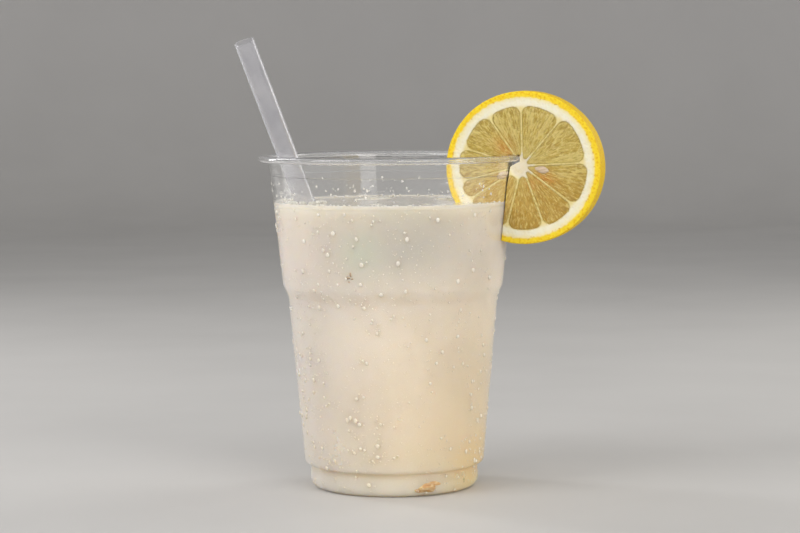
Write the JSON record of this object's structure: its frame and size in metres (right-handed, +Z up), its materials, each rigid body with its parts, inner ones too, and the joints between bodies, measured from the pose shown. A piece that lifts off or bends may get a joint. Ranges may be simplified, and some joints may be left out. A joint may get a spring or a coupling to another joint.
{
  "type": "cup of lemonade",
  "caption": "Clear plastic tumbler of cloudy lemonade with a rolled rim, a leaning straight straw and a slit lemon wheel stood on the rim.",
  "frame": {"origin": "centre of the cup's flat base, on the cup's axis", "axes": "+Z up along the cup's axis, +X towards the side that carries the lemon wheel, -Y towards the front"},
  "size_m": [0.1281, 0.095, 0.1594],
  "materials": {
    "cup": "clear, glossy",
    "lemonade": "cloudy liquid",
    "straw": "frosted, translucent",
    "lemon_peel": "waxy zest over white pith",
    "lemon_pulp": "wet, translucent"
  },
  "bodies": {
    "root": {"cup": "cup", "lemonade": "lemonade", "straw": "straw", "lemon_peel": "lemon_peel", "lemon_pulp_01": "lemon_pulp", "lemon_pulp_02": "lemon_pulp", "lemon_pulp_03": "lemon_pulp", "lemon_pulp_04": "lemon_pulp", "lemon_pulp_05": "lemon_pulp", "lemon_pulp_06": "lemon_pulp", "lemon_pulp_06b": "lemon_pulp", "lemon_pulp_07": "lemon_pulp", "lemon_pulp_08": "lemon_pulp", "lemon_pulp_09": "lemon_pulp", "lemon_pulp_10": "lemon_pulp"}
  },
  "joints": []
}
